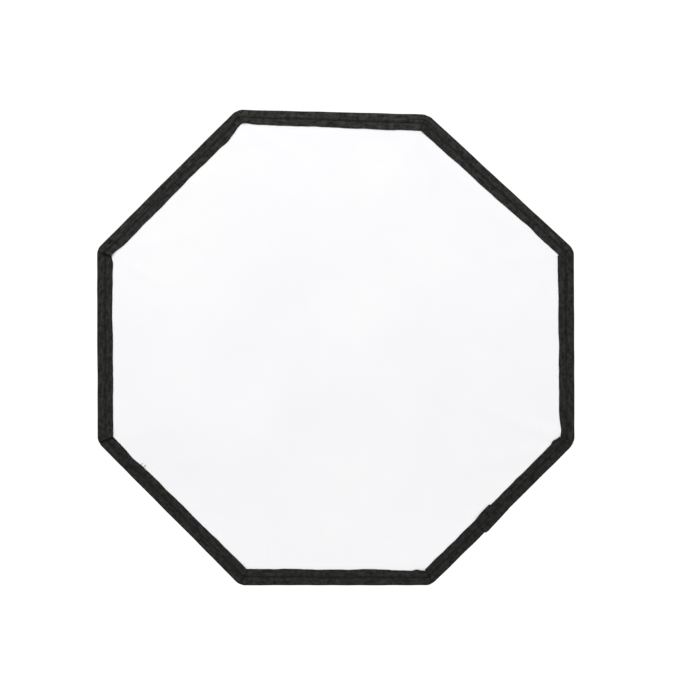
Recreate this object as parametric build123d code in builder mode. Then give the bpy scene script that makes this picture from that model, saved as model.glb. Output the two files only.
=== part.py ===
"""A 600 mm folding octabox: speed ring, eight hinged ribs, pleating shell, baffle and front cloth.

Frame: +Z is up, the optical axis lies along Y and the front cloth faces -Y. The origin is the
centre of the light-mount bore, in the plane where the light's face seats. A depth is a distance
in front of that plane, so the point at a depth d has y = -d. An azimuth turns from +X to +Z.
Rib 1 stands at 22.5 degrees, and the others follow every 45 degrees.
"""

from build123d import *
import math
import os

# Whole object
SIDES = 8
SIDE_TURN = 360 / SIDES
FRONT_APOTHEM = 300

# Bayonet adapter
BORE_R = 49
COLLAR_R = 58
COLLAR_REACH = 13
LUG_R = 64
LUG_THICKNESS = 5
LUG_SPAN_DEG = 40
LUG_COUNT = 3
HUB_R = 66
PLATE_R = 75
PLATE_DEPTHS = (2, 10)
GROOVE_DEPTH = 6
GROOVE_HALF_WIDTH = 2
EDGE_BREAK = 0.8

# Speed ring
RING_APOTHEM = 82
RING_DEPTHS = (1, 18)
RING_CHAMFER = 1
POCKET_R = 76
POCKET_FLOOR = 11
LIP_R = 66

# Rib hinges
HINGE_R = 92
HINGE_DEPTH = 10
PIN_R = 2.0
PIN_BORE_R = 2.05
PIN_HEAD_R = 3
PIN_HEAD_THICKNESS = 1
BRACKET_THICKNESS = 2.5
BRACKET_WIDTH = 40
BRACKET_HEIGHT = 12
BRACKET_CORNER_R = 2
EAR_GAP = 8.4
EAR_THICKNESS = 3
EAR_R = 5
SCREW_SPACING = 26
SCREW_R = 1.5
SCREW_REACH = 5
SCREW_HEAD_R = 2.8
SCREW_HEAD_HEIGHT = 2.2
HEX_KEY_R = 1.4
HEX_KEY_DEPTH = 1.4
SPRING_WIDTH = 7
SPRING_SPAN = 9
SPRING_RISE = 1.8
SPRING_THICKNESS = 0.5

# Ribs
HEEL_WIDTH = 8
HEEL_R = 4.6
HEEL_LENGTH = 14
FERRULE_R = 4
FERRULE_END = 34
ROD_R = 2.5
ROD_SEAT = 15
ROD_BOW = 8
TIP_R = 4.4
TIP_NOSE_R = 3
TIP_LENGTH = 20
TIP_BEYOND_ROD = 4
TIP_INSET = 7
TIP_SETBACK = 20

# Shell
SHELL_THICKNESS = 1
SHELL_GAP = 0.15
SHELL_BOW = 9
NECK_APOTHEM = 106
NECK_DEPTH = 22
RIM_APOTHEM = 299
RIM_DEPTH = 249.6
RIM_FLANGE = 18

# Neck skirt
SKIRT_REAR_APOTHEM = 103
SKIRT_FRONT_APOTHEM = 106
SKIRT_DEPTHS = (2, 21.4)
SKIRT_THICKNESS = 1
SKIRT_EYELET_R = 3.6

# Inner baffle
BAFFLE_DEPTH = 120
BAFFLE_APOTHEM = 160
BAFFLE_BINDING_WIDTH = 12
BAFFLE_BINDING_THICKNESS = 2.2
BINDING_EDGE = 1
CLOTH_THICKNESS = 0.6
STRAP_WIDTH = 10
STRAP_THICKNESS = 1
STRAP_RADII = (158, 194)
HOOK_LENGTH = 5
HOOK_WIDTH = 14
HOOK_THICKNESS = 4

# Front diffuser
BORDER_WIDTH = 19
BORDER_CORNER_R = 11
BORDER_DEPTHS = (250.6, 252.6)
FRONT_CLOTH_DEPTH = 251.2
HOOK_TAPE_DEPTHS = (249.9, 250.6)
HOOK_TAPE_APOTHEMS = (283, 297)

# Clamp screws
CLAMP_AZIMUTHS = (90, 225, 315)
CLAMP_R = 2.45
CLAMP_BORE_R = 2.5
CLAMP_TIP_R = 0.4
CLAMP_TIP_AT = 73.7
CLAMP_CONE_END = 76
CLAMP_END = 116
KNOB_FROM = 107
KNOB_LENGTH = 15
KNOB_R = 9
KNOB_GRIPS = 12
KNOB_GRIP_R = 1.4
KNOB_CHAMFER = 0.8

# Worked out from the sizes above; points in a rib's plane are (radius, -depth)
HALF_TURN = math.radians(SIDE_TURN / 2)
RIB_AZIMUTHS = [SIDE_TURN * (number - 0.5) for number in range(1, SIDES + 1)]
RING_CORNER_R = RING_APOTHEM / math.cos(HALF_TURN)
NECK_CORNER = Vector(NECK_APOTHEM / math.cos(HALF_TURN), -NECK_DEPTH)
RIM_CORNER = Vector(RIM_APOTHEM / math.cos(HALF_TURN), -RIM_DEPTH)
CORNER_LINE = (RIM_CORNER - NECK_CORNER).normalized()
CORNER_INWARD = CORNER_LINE.rotate(Axis.Z, -90)
HINGE = Vector(HINGE_R, -HINGE_DEPTH)
ROD_TIP = RIM_CORNER + CORNER_INWARD * TIP_INSET - CORNER_LINE * TIP_SETBACK
ROD_CHORD = ROD_TIP - HINGE
ROD_ENTRY_DEG = math.degrees(2 * math.atan(2 * ROD_BOW / ROD_CHORD.length))
FERRULE_LINE = ROD_CHORD.normalized().rotate(Axis.Z, ROD_ENTRY_DEG)
FERRULE_TILT = math.degrees(math.atan2(FERRULE_LINE.Y, FERRULE_LINE.X))


def depth_plane(depth):
    """A plane across the optical axis, facing forward."""
    return Plane.XZ.offset(depth)


def radial_plane(azimuth):
    """A plane that holds the optical axis: x is outward, y rearward, z towards larger azimuths."""
    turn = math.radians(azimuth)
    return Plane(
        origin=(0, 0, 0),
        x_dir=(math.cos(turn), 0, math.sin(turn)),
        z_dir=(-math.sin(turn), 0, math.cos(turn)),
    )


def outward_plane(azimuth, radius, depth):
    """A plane facing outward at a radius and depth: x is tangential, y forward."""
    radial = radial_plane(azimuth)
    return Plane(
        origin=radial.from_local_coords((radius, -depth, 0)),
        x_dir=radial.z_dir,
        z_dir=radial.x_dir,
    )


def section_plane(radial, point, direction):
    """A plane square to a line that lies in a radial plane, such as a rib's."""
    return Plane(
        origin=radial.from_local_coords((point.X, point.Y, 0)),
        x_dir=radial.z_dir,
        z_dir=radial.from_local_coords((direction.X, direction.Y, 0)),
    )


def rib_planes(offset=0):
    return [radial_plane(azimuth).offset(offset) for azimuth in RIB_AZIMUTHS]


def rib_flats(radius=RING_APOTHEM):
    return [outward_plane(azimuth, radius, HINGE_DEPTH) for azimuth in RIB_AZIMUTHS]


def octagon(apothem, mode=Mode.ADD):
    """An octagon whose corners stand at the ribs."""
    return RegularPolygon(
        apothem, SIDES, major_radius=False, rotation=SIDE_TURN / 2, mode=mode
    )


def save(part, name):
    part.label = name
    export_step(part, f"parts/{name}.step")


# Light mount


def make_bayonet_adapter():
    """The plate that the ring turns on, with a three-lug bayonet behind it."""
    plate_rear, plate_front = PLATE_DEPTHS
    gap_half = math.radians((360 / LUG_COUNT - LUG_SPAN_DEG) / 2)
    gap_x, gap_y = 2 * LUG_R * math.cos(gap_half), 2 * LUG_R * math.sin(gap_half)
    with BuildPart() as adapter:
        with BuildSketch(Plane.XY):
            Polygon(
                (BORE_R, COLLAR_REACH),
                (COLLAR_R - EDGE_BREAK, COLLAR_REACH),
                (COLLAR_R, COLLAR_REACH - EDGE_BREAK),
                (COLLAR_R, 0),
                (HUB_R, 0),
                (HUB_R, -plate_rear),
                (PLATE_R - EDGE_BREAK, -plate_rear),
                (PLATE_R, -plate_rear - EDGE_BREAK),
                (PLATE_R, GROOVE_HALF_WIDTH - GROOVE_DEPTH),
                (PLATE_R - GROOVE_HALF_WIDTH, -GROOVE_DEPTH),
                (PLATE_R, -GROOVE_HALF_WIDTH - GROOVE_DEPTH),
                (PLATE_R, EDGE_BREAK - plate_front),
                (PLATE_R - EDGE_BREAK, -plate_front),
                (BORE_R, -plate_front),
                align=None,
            )
        revolve(axis=Axis.Y)
        with BuildSketch(depth_plane(-COLLAR_REACH)):
            Circle(LUG_R)
            Circle((BORE_R + COLLAR_R) / 2, mode=Mode.SUBTRACT)
            with PolarLocations(0, LUG_COUNT):
                Polygon(
                    (0, 0), (gap_x, -gap_y), (gap_x, gap_y), align=None, mode=Mode.SUBTRACT
                )
        extrude(amount=LUG_THICKNESS)
    save(adapter.part, "bayonet_adapter")


def make_speed_ring():
    """The eight-sided ring that carries the ribs and turns round the adapter's plate."""
    rear, front = RING_DEPTHS
    with BuildPart() as ring:
        with BuildSketch(depth_plane(rear)):
            RegularPolygon(RING_APOTHEM, SIDES, major_radius=False)
        extrude(amount=front - rear)
        chamfer(ring.faces().filter_by(Plane.XZ).edges(), length=RING_CHAMFER)
        with BuildSketch(depth_plane(rear)):
            Circle(POCKET_R)
        extrude(amount=POCKET_FLOOR - rear, mode=Mode.SUBTRACT)
        with BuildSketch(depth_plane(rear)):
            Circle(LIP_R)
        extrude(amount=front - rear, mode=Mode.SUBTRACT)
        with BuildSketch(*rib_flats()):
            bracket_screw_circles(SCREW_R)
        extrude(amount=-SCREW_REACH, mode=Mode.SUBTRACT)
        with BuildSketch(*[outward_plane(a, LIP_R, GROOVE_DEPTH) for a in CLAMP_AZIMUTHS]):
            Circle(CLAMP_BORE_R)
        extrude(amount=RING_CORNER_R - LIP_R, mode=Mode.SUBTRACT)
    save(ring.part, "speed_ring")


# Rib hinges


def bracket_screw_circles(radius, mode=Mode.ADD):
    with GridLocations(SCREW_SPACING, 0, 2, 1):
        Circle(radius, mode=mode)


def make_rib_brackets():
    """Eight U-shaped brackets, one screwed to each flat of the ring."""
    ear_height = HINGE_R - RING_APOTHEM - BRACKET_THICKNESS / 2
    ear_outside = EAR_GAP / 2 + EAR_THICKNESS
    with BuildPart() as brackets:
        with BuildSketch(*rib_flats()):
            RectangleRounded(BRACKET_WIDTH, BRACKET_HEIGHT, BRACKET_CORNER_R)
            bracket_screw_circles(SCREW_R, mode=Mode.SUBTRACT)
        extrude(amount=BRACKET_THICKNESS)
        for side in (-1, 1):
            with BuildSketch(*rib_planes(side * EAR_GAP / 2)):
                with Locations((HINGE_R, -HINGE_DEPTH)):
                    Circle(EAR_R)
                    Rectangle(ear_height, 2 * EAR_R, align=(Align.MAX, Align.CENTER))
            extrude(amount=side * EAR_THICKNESS)
        with BuildSketch(*rib_planes(-ear_outside)):
            with Locations((HINGE_R, -HINGE_DEPTH)):
                Circle(PIN_R)
        extrude(amount=2 * ear_outside, mode=Mode.SUBTRACT)
    save(brackets.part, "rib_brackets")


def make_bracket_screws():
    """Two socket-head screws for each bracket."""
    with BuildPart() as screws:
        with BuildSketch(*rib_flats(RING_APOTHEM - SCREW_REACH)):
            bracket_screw_circles(SCREW_R)
        extrude(amount=SCREW_REACH + BRACKET_THICKNESS)
        head_seat = RING_APOTHEM + BRACKET_THICKNESS
        with BuildSketch(*rib_flats(head_seat)):
            bracket_screw_circles(SCREW_HEAD_R)
        extrude(amount=SCREW_HEAD_HEIGHT)
        with BuildSketch(*rib_flats(head_seat + SCREW_HEAD_HEIGHT)):
            with GridLocations(SCREW_SPACING, 0, 2, 1):
                RegularPolygon(HEX_KEY_R, 6)
        extrude(amount=-HEX_KEY_DEPTH, mode=Mode.SUBTRACT)
    save(screws.part, "bracket_screws")


def make_hinge_pins():
    """Eight riveted pins, each through a bracket's ears and a rib's heel."""
    head_seat = EAR_GAP / 2 + EAR_THICKNESS
    with BuildPart() as pins:
        with BuildSketch(*rib_planes(-head_seat)):
            with Locations((HINGE_R, -HINGE_DEPTH)):
                Circle(PIN_R)
        extrude(amount=2 * head_seat)
        for side in (-1, 1):
            with BuildSketch(*rib_planes(side * head_seat)):
                with Locations((HINGE_R, -HINGE_DEPTH)):
                    Circle(PIN_HEAD_R)
            extrude(amount=side * PIN_HEAD_THICKNESS)
    save(pins.part, "hinge_pins")


def make_detent_springs():
    """Eight bowed leaf springs, one on each bracket's floor under the rib's heel."""
    floor = RING_APOTHEM + BRACKET_THICKNESS
    half = SPRING_SPAN / 2
    crown = floor + SPRING_RISE
    with BuildPart() as springs:
        with BuildSketch(*rib_planes(-SPRING_WIDTH / 2)):
            with BuildLine():
                ThreePointArc(
                    (floor, half - HINGE_DEPTH), (crown, -HINGE_DEPTH), (floor, -half - HINGE_DEPTH)
                )
                ThreePointArc(
                    (floor, 1 - half - HINGE_DEPTH),
                    (crown - SPRING_THICKNESS, -HINGE_DEPTH),
                    (floor, half - 1 - HINGE_DEPTH),
                )
                Line((floor, half - HINGE_DEPTH), (floor, half - 1 - HINGE_DEPTH))
                Line((floor, -half - HINGE_DEPTH), (floor, 1 - half - HINGE_DEPTH))
            make_face()
        extrude(amount=SPRING_WIDTH)
    save(springs.part, "detent_springs")


# Ribs


def make_rib_heel(rib, name):
    """The moulded eye on the hinge pin, with the ferrule that holds the rod."""
    with BuildPart() as heel:
        with BuildSketch(rib.offset(-HEEL_WIDTH / 2)):
            with Locations(Location((HINGE_R, -HINGE_DEPTH), FERRULE_TILT)):
                Circle(HEEL_R)
                Rectangle(HEEL_LENGTH, 2 * HEEL_R, align=(Align.MIN, Align.CENTER))
                Circle(PIN_BORE_R, mode=Mode.SUBTRACT)
        extrude(amount=HEEL_WIDTH)
        with BuildSketch(section_plane(rib, HINGE + FERRULE_LINE * HEEL_LENGTH, FERRULE_LINE)):
            Circle(FERRULE_R)
        extrude(amount=FERRULE_END - HEEL_LENGTH)
        with BuildSketch(section_plane(rib, HINGE + FERRULE_LINE * ROD_SEAT, FERRULE_LINE)):
            Circle(ROD_R)
        extrude(amount=FERRULE_END - ROD_SEAT, mode=Mode.SUBTRACT)
    save(heel.part, name)


def rod_centre_line(rib):
    """Straight in the ferrule, then one arc to the tip."""
    seat, mouth = HINGE + FERRULE_LINE * ROD_SEAT, HINGE + FERRULE_LINE * FERRULE_END
    with BuildLine() as centre_line:
        Line(seat, mouth)
        TangentArc(mouth, ROD_TIP, tangent=FERRULE_LINE)
    return rib.from_local_coords(centre_line.line)


def make_rib_rod(rib, name):
    path = rod_centre_line(rib)
    with BuildPart() as rod:
        with BuildSketch(Plane(origin=path @ 0, z_dir=path % 0)):
            Circle(ROD_R)
        sweep(path=path)
    save(rod.part, name)


def make_rib_tip(rib, name):
    """The round-nosed cap that the shell's corner pocket sits on."""
    path = rod_centre_line(rib)
    nose = path @ 1 + (path % 1) * TIP_BEYOND_ROD
    with BuildPart() as tip:
        with BuildSketch(Plane(origin=nose, z_dir=-(path % 1))):
            Circle(TIP_R)
        extrude(amount=TIP_LENGTH)
        fillet(tip.faces().sort_by_distance(nose)[0].edges(), radius=TIP_NOSE_R)
        with BuildSketch(Plane(origin=path @ 0, z_dir=path % 0)):
            Circle(ROD_R)
        sweep(path=path, mode=Mode.SUBTRACT)
    save(tip.part, name)


# Shell


def shell_profile():
    """The bowed strip of a gore at the middle of a side, with the flange turned in at the rim."""
    neck, rim = Vector(NECK_APOTHEM, -NECK_DEPTH), Vector(RIM_APOTHEM, -RIM_DEPTH)
    inward = (rim - neck).normalized().rotate(Axis.Z, -90)
    crown = (neck + rim) / 2 - inward * SHELL_BOW
    flange_rear = SHELL_THICKNESS - RIM_DEPTH
    inner_rim = rim + Vector(-SHELL_THICKNESS * 1.8, SHELL_THICKNESS)
    inner_neck = neck + inward * SHELL_THICKNESS
    flange_edge = RIM_APOTHEM - RIM_FLANGE
    with BuildLine() as outline:
        ThreePointArc(neck, crown, rim)
        Polyline(rim, (flange_edge, -RIM_DEPTH), (flange_edge, flange_rear), inner_rim)
        ThreePointArc(inner_rim, crown + inward * SHELL_THICKNESS, inner_neck)
        Line(inner_neck, neck)
    return outline.line


def make_shell_panel(azimuth, side, name):
    """Half a gore, from a rib to the middle of the side before it (-1) or after it (1)."""
    mid_side = radial_plane(azimuth + side * SIDE_TURN / 2)
    with BuildPart() as panel:
        with BuildSketch(mid_side.offset(-side * SHELL_GAP)):
            with BuildLine():
                add(shell_profile())
            make_face()
        extrude(amount=-side * FRONT_APOTHEM / 2)
        split(
            bisect_by=radial_plane(azimuth).offset(side * SHELL_GAP),
            keep=Keep.TOP if side > 0 else Keep.BOTTOM,
        )
    save(panel.part, name)


def make_neck_skirt():
    """The fabric cup that closes the shell's neck round the ring, with an eyelet at each screw."""
    rear, front = SKIRT_DEPTHS
    with BuildPart() as skirt:
        with BuildSketch(depth_plane(rear)):
            octagon(SKIRT_REAR_APOTHEM)
        with BuildSketch(depth_plane(front)):
            octagon(SKIRT_FRONT_APOTHEM)
        loft()
        with BuildSketch(depth_plane(rear + SKIRT_THICKNESS)):
            octagon(SKIRT_REAR_APOTHEM - SKIRT_THICKNESS)
        with BuildSketch(depth_plane(front)):
            octagon(SKIRT_FRONT_APOTHEM - SKIRT_THICKNESS)
        loft(mode=Mode.SUBTRACT)
        with BuildSketch(depth_plane(rear)):
            RegularPolygon(RING_APOTHEM, SIDES, major_radius=False)
        extrude(amount=SKIRT_THICKNESS, mode=Mode.SUBTRACT)
        with BuildSketch(*[outward_plane(a, RING_APOTHEM, GROOVE_DEPTH) for a in CLAMP_AZIMUTHS]):
            Circle(SKIRT_EYELET_R)
        extrude(amount=FRONT_APOTHEM / 2, mode=Mode.SUBTRACT)
    save(skirt.part, "neck_skirt")


# Inner baffle


def make_baffle_cloth():
    with BuildPart() as cloth:
        with BuildSketch(depth_plane(BAFFLE_DEPTH - CLOTH_THICKNESS / 2)):
            octagon(BAFFLE_APOTHEM)
        extrude(amount=CLOTH_THICKNESS)
    save(cloth.part, "baffle_cloth")


def make_baffle_binding():
    """A tape folded over the cloth's edge."""
    outside = BAFFLE_APOTHEM + BINDING_EDGE
    with BuildPart() as binding:
        with BuildSketch(depth_plane(BAFFLE_DEPTH - BAFFLE_BINDING_THICKNESS / 2)):
            octagon(outside)
            octagon(outside - BAFFLE_BINDING_WIDTH, mode=Mode.SUBTRACT)
        extrude(amount=BAFFLE_BINDING_THICKNESS)
        with BuildSketch(depth_plane(BAFFLE_DEPTH - CLOTH_THICKNESS / 2)):
            octagon(BAFFLE_APOTHEM)
        extrude(amount=CLOTH_THICKNESS, mode=Mode.SUBTRACT)
    save(binding.part, "baffle_binding")


def make_baffle_straps():
    """Eight elastic straps, each from a corner of the baffle to a hook at a rod."""
    strap_rear = BAFFLE_DEPTH + BAFFLE_BINDING_THICKNESS / 2
    start, end = STRAP_RADII
    with BuildPart() as straps:
        with BuildSketch(depth_plane(strap_rear)):
            with PolarLocations(start, SIDES, start_angle=SIDE_TURN / 2):
                Rectangle(end - start, STRAP_WIDTH, align=(Align.MIN, Align.CENTER))
        extrude(amount=STRAP_THICKNESS)
        with BuildSketch(depth_plane(BAFFLE_DEPTH - HOOK_THICKNESS / 2)):
            with PolarLocations(end, SIDES, start_angle=SIDE_TURN / 2):
                Rectangle(HOOK_LENGTH, HOOK_WIDTH, align=(Align.MIN, Align.CENTER))
        extrude(amount=HOOK_THICKNESS)
    save(straps.part, "baffle_straps")


# Front diffuser


def rounded_octagon(apothem, corner_r):
    outline = octagon(apothem)
    fillet(outline.vertices(), radius=corner_r)


def make_diffuser_cloth():
    with BuildPart() as cloth:
        with BuildSketch(depth_plane(FRONT_CLOTH_DEPTH)):
            rounded_octagon(FRONT_APOTHEM - BINDING_EDGE, BORDER_CORNER_R - BINDING_EDGE)
        extrude(amount=CLOTH_THICKNESS)
    save(cloth.part, "diffuser_cloth")


def make_diffuser_border():
    """A tape folded over the cloth's edge, with mitred inner corners."""
    rear, front = BORDER_DEPTHS
    with BuildPart() as border:
        with BuildSketch(depth_plane(rear)):
            rounded_octagon(FRONT_APOTHEM, BORDER_CORNER_R)
            octagon(FRONT_APOTHEM - BORDER_WIDTH, mode=Mode.SUBTRACT)
        extrude(amount=front - rear)
        with BuildSketch(depth_plane(FRONT_CLOTH_DEPTH)):
            rounded_octagon(FRONT_APOTHEM - BINDING_EDGE, BORDER_CORNER_R - BINDING_EDGE)
        extrude(amount=CLOTH_THICKNESS, mode=Mode.SUBTRACT)
    save(border.part, "diffuser_border")


def make_diffuser_hook_tape():
    """The hook tape behind the border, which grips the loop tape on the shell's flange."""
    inside, outside = HOOK_TAPE_APOTHEMS
    rear, front = HOOK_TAPE_DEPTHS
    with BuildPart() as tape:
        with BuildSketch(depth_plane(rear)):
            octagon(outside)
            octagon(inside, mode=Mode.SUBTRACT)
        extrude(amount=front - rear)
    save(tape.part, "diffuser_hook_tape")


# Clamp screws


def make_clamp_screw(azimuth, name):
    """A cone-pointed screw, whose point reaches into the adapter's groove."""
    with BuildPart() as screw:
        with BuildSketch(outward_plane(azimuth, CLAMP_TIP_AT, GROOVE_DEPTH)):
            Circle(CLAMP_TIP_R)
        with BuildSketch(outward_plane(azimuth, CLAMP_CONE_END, GROOVE_DEPTH)):
            Circle(CLAMP_R)
        loft()
        with BuildSketch(outward_plane(azimuth, CLAMP_CONE_END, GROOVE_DEPTH)):
            Circle(CLAMP_R)
        extrude(amount=CLAMP_END - CLAMP_CONE_END)
    save(screw.part, name)


def make_clamp_knob(azimuth, name):
    """A fluted knob moulded on the screw's outer end."""
    face = outward_plane(azimuth, KNOB_FROM, GROOVE_DEPTH)
    with BuildPart() as knob:
        with BuildSketch(face):
            Circle(KNOB_R)
            with PolarLocations(KNOB_R + KNOB_GRIP_R / 2, KNOB_GRIPS):
                Circle(KNOB_GRIP_R, mode=Mode.SUBTRACT)
        extrude(amount=KNOB_LENGTH)
        chamfer(knob.faces().sort_by(Axis(face.origin, face.z_dir))[-1].edges(), length=KNOB_CHAMFER)
        with BuildSketch(face):
            Circle(CLAMP_R)
        extrude(amount=CLAMP_END - KNOB_FROM, mode=Mode.SUBTRACT)
    save(knob.part, name)


os.makedirs("parts", exist_ok=True)
make_bayonet_adapter()
make_speed_ring()
make_rib_brackets()
make_bracket_screws()
make_hinge_pins()
make_detent_springs()
make_neck_skirt()
for number, azimuth in enumerate(RIB_AZIMUTHS, start=1):
    rib = radial_plane(azimuth)
    make_rib_heel(rib, f"rib_{number}_heel")
    make_rib_rod(rib, f"rib_{number}_rod")
    make_rib_tip(rib, f"rib_{number}_tip")
    make_shell_panel(azimuth, -1, f"shell_panel_{number}a")
    make_shell_panel(azimuth, 1, f"shell_panel_{number}b")
make_baffle_cloth()
make_baffle_binding()
make_baffle_straps()
make_diffuser_cloth()
make_diffuser_border()
make_diffuser_hook_tape()
for number, azimuth in enumerate(CLAMP_AZIMUTHS, start=1):
    make_clamp_screw(azimuth, f"clamp_screw_{number}")
    make_clamp_knob(azimuth, f"clamp_knob_{number}")
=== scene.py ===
"""The looks of a folding octabox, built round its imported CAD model.

Lengths are metres in the CAD model's frame: the front cloth faces -Y, and +Z is up. Sides are
numbered from 0 at +X towards +Z. Rib k stands between side k - 1 and side k.
"""

import math

import bpy
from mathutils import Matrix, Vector, noise


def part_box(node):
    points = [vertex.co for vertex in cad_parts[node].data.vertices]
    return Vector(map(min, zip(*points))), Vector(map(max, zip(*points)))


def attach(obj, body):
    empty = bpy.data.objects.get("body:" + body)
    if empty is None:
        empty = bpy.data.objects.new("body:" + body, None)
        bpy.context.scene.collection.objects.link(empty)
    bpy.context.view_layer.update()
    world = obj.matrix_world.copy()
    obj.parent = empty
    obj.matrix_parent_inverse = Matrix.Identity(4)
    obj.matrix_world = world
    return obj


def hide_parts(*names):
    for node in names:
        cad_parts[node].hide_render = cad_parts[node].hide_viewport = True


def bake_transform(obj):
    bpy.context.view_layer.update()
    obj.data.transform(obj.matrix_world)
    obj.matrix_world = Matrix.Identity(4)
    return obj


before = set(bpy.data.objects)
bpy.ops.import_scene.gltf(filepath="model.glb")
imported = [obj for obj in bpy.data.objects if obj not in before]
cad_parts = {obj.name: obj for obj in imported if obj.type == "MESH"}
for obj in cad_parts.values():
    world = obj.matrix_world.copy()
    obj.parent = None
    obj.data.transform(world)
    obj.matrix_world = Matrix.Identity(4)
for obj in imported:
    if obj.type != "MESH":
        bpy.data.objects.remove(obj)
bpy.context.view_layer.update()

# Sizes that the frame gives
SIDES = 8
SIDE_TURN = math.tau / SIDES
HALF_TAN = math.tan(SIDE_TURN / 2)
BORDER_LOW, BORDER_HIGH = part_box("diffuser_border")
APOTHEM = BORDER_HIGH.x
CLOTH_LOW, CLOTH_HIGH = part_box("diffuser_cloth")
TOP_GORE_LOW, TOP_GORE_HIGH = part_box("shell_panel_3a")
RIM_APOTHEM = TOP_GORE_HIGH.z
RIM_Y = TOP_GORE_LOW.y
NECK_Y = TOP_GORE_HIGH.y
SKIRT_LOW, SKIRT_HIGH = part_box("neck_skirt")
BAFFLE_LOW, BAFFLE_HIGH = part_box("baffle_binding")
STRAP_LOW, STRAP_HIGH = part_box("baffle_straps")
HOOK_LOW, HOOK_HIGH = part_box("diffuser_hook_tape")
KNOB_LOW, KNOB_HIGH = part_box("clamp_knob_1")

# Sewn sizes that the frame doesn't give
NECK_APOTHEM = 0.106
RING_APOTHEM = 0.082
SKIRT_REAR_APOTHEM = 0.103
SKIRT_HIGH_APOTHEM = 0.106
SHELL_BOW = 0.009
SHELL_SAG = 0.004
SHELL_THICKNESS = 0.0009
RIM_FLANGE = 0.018
SEAM_BAND = 0.008
RIM_HEM = 0.012
BAND_RISE = 0.0007
BINDING_WIDTH = 0.012
HOOK_TAPE_WIDTH = 0.014

# Sewn corners are uneven. Chosen in whole millimetres: outward, and along the edge, by rib.
UNEVEN_CORNERS = {
    1: (0.003, 0.0), 2: (-0.006, 0.005), 3: (0.003, 0.0), 4: (0.003, 0.0),
    5: (0.0, -0.005), 6: (0.0, 0.003), 7: (0.0, -0.003), 8: (0.002, 0.004),
}
CORNER_RADIUS = 0.018
ODD_RADII = {3: 0.021, 4: 0.015, 8: 0.023}
CORNER_RADII = [ODD_RADII.get(rib or SIDES, CORNER_RADIUS) for rib in range(SIDES)]


# Mesh helpers


def link(obj):
    bpy.context.scene.collection.objects.link(obj)
    return obj


def new_mesh(name, points, faces, materials, face_slots=None, uvs=None, shades=None):
    """A smooth mesh object; uvs has one pair for each point, and shades one number."""
    mesh = bpy.data.meshes.new(name)
    mesh.from_pydata([tuple(p) for p in points], [], faces)
    for material in materials:
        mesh.materials.append(material)
    if face_slots:
        mesh.polygons.foreach_set("material_index", face_slots)
    mesh.polygons.foreach_set("use_smooth", [True] * len(mesh.polygons))
    if uvs:
        layer = mesh.uv_layers.new(name="UVMap")
        for loop in mesh.loops:
            layer.data[loop.index].uv = uvs[loop.vertex_index]
    if shades:
        mesh.attributes.new("shade", "FLOAT", "POINT").data.foreach_set("value", shades)
    mesh.update()
    return link(bpy.data.objects.new(name, mesh))


def grid_faces(rows, columns, wrap_rows=False, wrap_columns=False, first=0):
    """Quads over points stored row by row."""
    faces = []
    for i in range(rows if wrap_rows else rows - 1):
        for j in range(columns if wrap_columns else columns - 1):
            k, m = (i + 1) % rows, (j + 1) % columns
            faces.append(tuple(first + n for n in (
                i * columns + j, i * columns + m, k * columns + m, k * columns + j)))
    return faces


def smoothstep(low, high, x):
    t = min(1.0, max(0.0, (x - low) / (high - low)))
    return t * t * (3 - 2 * t)


def wobble(x, seed, scale):
    """Smooth noise along a line, from about -1 to 1."""
    return noise.noise(Vector((x / scale, seed * 7.31, seed * 3.17)))


def radial(azimuth):
    return Vector((math.cos(azimuth), 0, math.sin(azimuth)))


def tangent(azimuth):
    return Vector((-math.sin(azimuth), 0, math.cos(azimuth)))


def rib_azimuth(rib):
    return (rib - 0.5) * SIDE_TURN


def corner_drift(rib):
    outward, along = UNEVEN_CORNERS[(rib - 1) % SIDES + 1]
    return radial(rib_azimuth(rib)) * outward + tangent(rib_azimuth(rib)) * along


def side_point(side, apothem, across, y, drift=1.0):
    """A point on an octagon's side; drift is its share of how far the corners have moved.

    across goes from -1 at the side's first rib to 1 at its second.
    """
    moved = corner_drift(side) * ((1 - across) / 2) + corner_drift(side + 1) * ((1 + across) / 2)
    along = tangent(side * SIDE_TURN) * (across * apothem * HALF_TAN)
    return radial(side * SIDE_TURN) * apothem + along + moved * drift + Vector((0, y, 0))


def rounded(corner_r, from_corner):
    """How far a rounded corner leaves the outline, at a distance along it from the sharp corner."""
    cut = max(0.0, corner_r * HALF_TAN - from_corner)
    return corner_r - math.sqrt(corner_r ** 2 - cut ** 2)


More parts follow.
